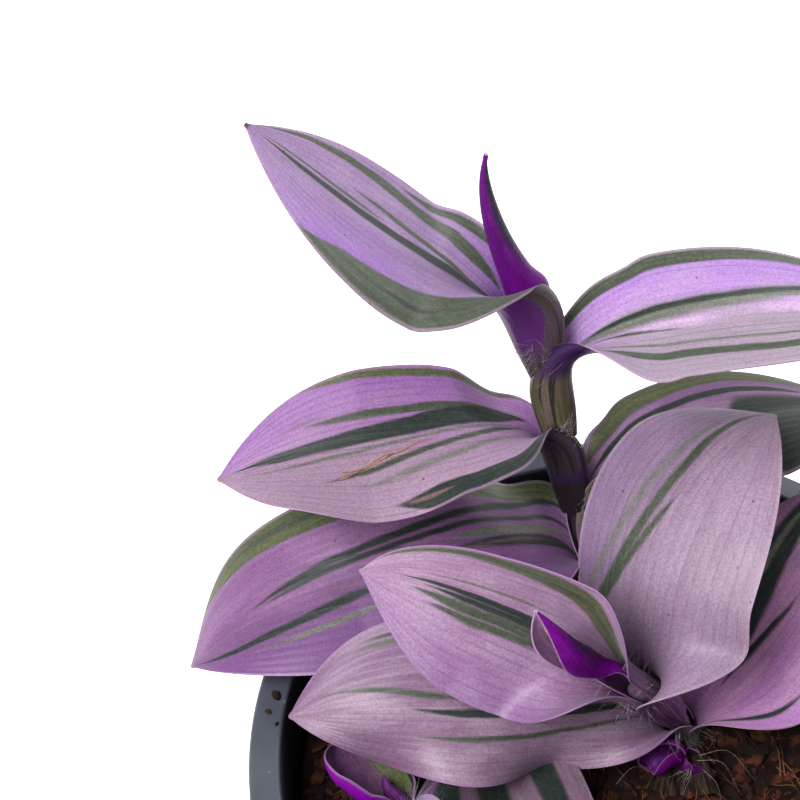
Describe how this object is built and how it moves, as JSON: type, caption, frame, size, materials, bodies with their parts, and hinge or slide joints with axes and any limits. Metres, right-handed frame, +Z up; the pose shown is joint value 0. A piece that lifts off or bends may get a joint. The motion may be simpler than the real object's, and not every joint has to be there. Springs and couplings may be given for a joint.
{
  "type": "potted tradescantia",
  "caption": "Striped pink, violet and green tradescantia with upright leafy shoots in soil in a round plastic nursery pot.",
  "frame": {"origin": "centre of the pot's flat underside, in the plane that the pot stands on", "axes": "+Z up along the pot's axis; +Y away from the viewer, towards the tall shoot; +X to the viewer's right"},
  "size_m": [0.1515, 0.1525, 0.1773],
  "materials": {
    "pot": "satin",
    "soil": "matte",
    "stem": "satin",
    "blade": "satin",
    "young_leaf": "satin"
  },
  "bodies": {
    "root": {"pot": "pot", "soil": "soil", "stem_a": "stem", "stem_b": "stem", "stem_c": "stem", "stem_d": "stem", "stem_e": "stem", "stem_f": "stem", "stem_g": "stem", "leaf_a1": "blade", "leaf_a2": "blade", "leaf_a3": "blade", "leaf_a4": "blade", "leaf_a5": "young_leaf", "leaf_a6": "blade", "leaf_b0": "blade", "leaf_b1": "blade", "leaf_b2": "blade", "leaf_b3": "blade", "leaf_b4": "young_leaf", "bud_b": "young_leaf", "leaf_c1": "young_leaf", "leaf_c2": "blade", "leaf_d1": "blade", "leaf_d2": "blade", "leaf_d3": "blade", "leaf_d4": "blade", "leaf_d5": "young_leaf", "leaf_e1": "blade", "leaf_e2": "blade", "leaf_e3": "blade", "leaf_e4": "blade", "leaf_e5": "blade", "leaf_e6": "young_leaf", "leaf_f1": "blade", "leaf_f2": "blade", "leaf_f3": "young_leaf"}
  },
  "joints": []
}
